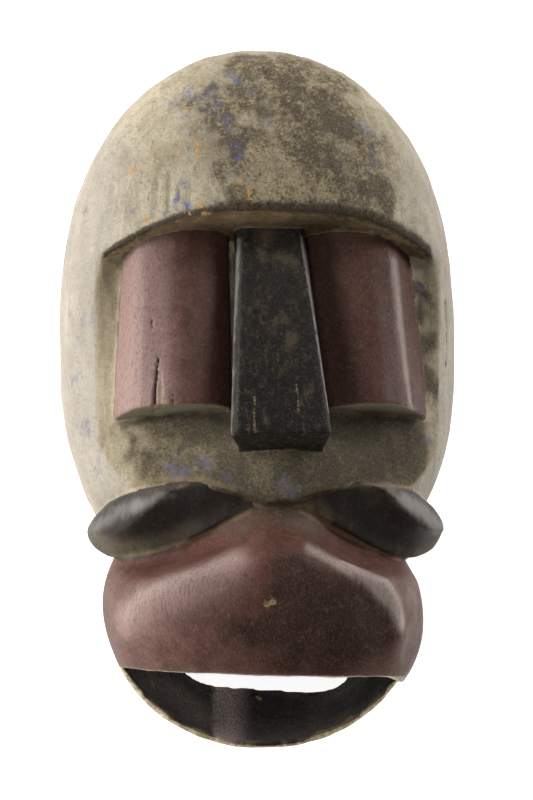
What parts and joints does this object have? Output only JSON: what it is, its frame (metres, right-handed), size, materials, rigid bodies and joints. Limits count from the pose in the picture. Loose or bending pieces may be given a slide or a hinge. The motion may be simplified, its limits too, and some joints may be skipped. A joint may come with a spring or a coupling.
{
  "type": "carved wooden face mask",
  "caption": "Carved and painted wooden face mask: egg-shaped head, overhanging brow, tubular eyes, block nose, flared nostril wings and an open scoop jaw, hollow at the back.",
  "frame": {"origin": "in the plane of the back rim, under the middle of the mask's height and width", "axes": "+Z out of the face, away from the back rim; +Y towards the crown; +X to the viewer's right"},
  "size_m": [0.204, 0.3594, 0.11],
  "materials": {
    "painted_wood": "carved wood with worn matt kaolin, red-brown and black pigment"
  },
  "bodies": {
    "root": {"mask": "painted_wood"}
  },
  "joints": []
}
